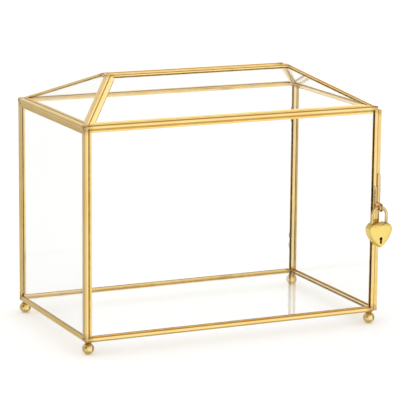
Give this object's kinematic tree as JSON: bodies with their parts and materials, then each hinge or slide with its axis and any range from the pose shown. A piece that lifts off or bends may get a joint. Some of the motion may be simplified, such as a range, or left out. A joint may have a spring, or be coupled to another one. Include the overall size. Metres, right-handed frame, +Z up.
{
  "type": "glass card box",
  "caption": "Hip-roofed clear glass card box framed in brass came, with a card slot along the ridge, ball feet, a hinged end door and a heart padlock through a hasp.",
  "frame": {"origin": "on the surface the box stands on, under the middle of its overall outline", "axes": "+X along the box towards the door end, +Y from the hasp side to the hinge side, +Z up"},
  "size_m": [0.2662, 0.1616, 0.2088],
  "materials": {
    "brass_came": "polished",
    "brass_ball": "polished",
    "brass_hinge": "polished",
    "brass_hasp": "polished, tinned with solder along one edge",
    "lock_case": "satin",
    "shackle_wire": "polished",
    "lock_steel": "plain",
    "clear_glass": "clear, polished"
  },
  "bodies": {
    "box": {"post_front_left": "brass_came", "post_back_left": "brass_came", "post_front_right": "brass_came", "post_back_right": "brass_came", "hip_front_left": "brass_came", "hip_back_left": "brass_came", "hip_front_right": "brass_came", "hip_back_right": "brass_came", "base_rail_front": "brass_came", "base_rail_back": "brass_came", "base_rail_left": "brass_came", "base_rail_right": "brass_came", "eave_rail_front": "brass_came", "eave_rail_back": "brass_came", "eave_rail_left": "brass_came", "eave_rail_right": "brass_came", "slot_bar_front": "brass_came", "slot_bar_back": "brass_came", "slot_bar_left": "brass_came", "slot_bar_right": "brass_came", "glass_base": "clear_glass", "glass_front": "clear_glass", "glass_back": "clear_glass", "glass_left": "clear_glass", "glass_roof_front": "clear_glass", "glass_roof_back": "clear_glass", "glass_roof_left": "clear_glass", "glass_roof_right": "clear_glass", "foot_front_left": "brass_ball", "foot_front_right": "brass_ball", "foot_back_left": "brass_ball", "foot_back_right": "brass_ball", "hinge_lower_frame_knuckle_below": "brass_hinge", "hinge_lower_frame_knuckle_above": "brass_hinge", "hinge_lower_pin": "brass_hinge", "hinge_upper_frame_knuckle_below": "brass_hinge", "hinge_upper_frame_knuckle_above": "brass_hinge", "hinge_upper_pin": "brass_hinge", "hasp_lug_frame": "brass_hasp"},
    "door": {"door_stile_latch": "brass_came", "door_stile_hinge": "brass_came", "door_rail_bottom": "brass_came", "door_rail_top": "brass_came", "door_glass": "clear_glass", "hinge_lower_door_knuckle": "brass_hinge", "hinge_upper_door_knuckle": "brass_hinge", "hasp_lug_door": "brass_hasp"},
    "shackle": {"padlock_shackle": "shackle_wire"},
    "padlock": {"padlock_case": "lock_case", "padlock_back_plate": "lock_case", "padlock_key_post": "lock_steel", "padlock_spring_catch": "lock_steel"}
  },
  "joints": [
    {"name": "door_swing", "type": "hinge", "parent": "box", "child": "door", "pos_m": [0.1229, 0.07915, 0.09], "axis": [0, 0, 1], "range_deg": [0, 170]},
    {"name": "padlock_swing", "type": "hinge", "parent": "box", "child": "shackle", "pos_m": [0.1227, -0.07685, 0.0986], "axis": [-1, 0, 0], "range_deg": [-3, 75]},
    {"name": "case_drop", "type": "slide", "parent": "shackle", "child": "padlock", "axis": [0, 0, -1], "range_m": [0, 0.006]}
  ]
}
